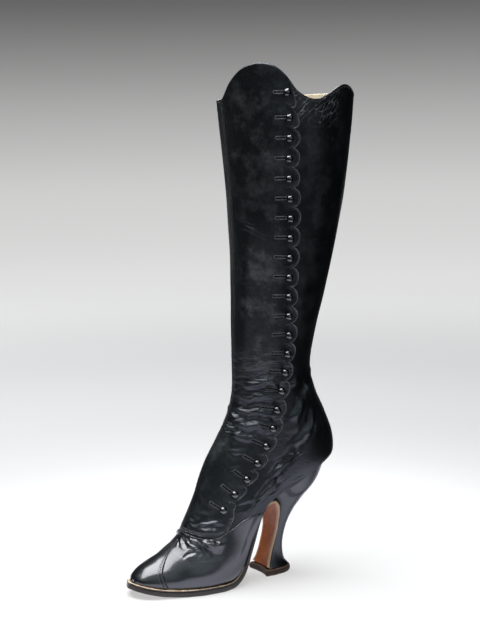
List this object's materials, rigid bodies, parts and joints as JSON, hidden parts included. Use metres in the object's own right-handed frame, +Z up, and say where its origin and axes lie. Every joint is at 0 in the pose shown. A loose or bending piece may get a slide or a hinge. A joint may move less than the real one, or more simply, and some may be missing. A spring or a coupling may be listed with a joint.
{
  "type": "high-heeled boot",
  "caption": "Knee-high black leather boot for the left foot, with a curved waisted heel and a scalloped fly of ball buttons.",
  "frame": {"origin": "on the floor, on the middle of the bottom of the heel's top lift", "axes": "+X towards the toe, +Y towards the outer side of the left foot, +Z up the shaft"},
  "size_m": [0.233, 0.1131, 0.4877],
  "materials": {
    "glazed_kid_shaft": "black glazed kid, semi-gloss, soft creases and fine cracks",
    "glazed_kid_foot": "black glazed kid, high gloss",
    "black_ball_button": "black, high gloss",
    "insole_leather": "natural, matte",
    "welt_leather": "pale tan, worn",
    "sole_leather": "tan on the breast, dark worn edge",
    "covered_heel": "black leather cover, semi-gloss",
    "lift_leather": "dark brown stacked leather, worn"
  },
  "bodies": {
    "root": {"upper": "glazed_kid_shaft", "vamp": "glazed_kid_foot", "toe_cap": "glazed_kid_foot", "button_fly": "glazed_kid_shaft", "button_01": "black_ball_button", "button_02": "black_ball_button", "button_03": "black_ball_button", "button_04": "black_ball_button", "button_05": "black_ball_button", "button_06": "black_ball_button", "button_07": "black_ball_button", "button_08": "black_ball_button", "button_09": "black_ball_button", "button_10": "black_ball_button", "button_11": "black_ball_button", "button_12": "black_ball_button", "button_13": "black_ball_button", "button_14": "black_ball_button", "button_15": "black_ball_button", "button_16": "black_ball_button", "button_17": "black_ball_button", "button_18": "black_ball_button", "button_19": "black_ball_button", "button_20": "black_ball_button", "button_21": "black_ball_button", "button_22": "black_ball_button", "button_23": "black_ball_button", "insole": "insole_leather", "welt": "welt_leather", "outsole": "sole_leather", "heel": "covered_heel", "top_lift": "lift_leather"}
  },
  "joints": []
}
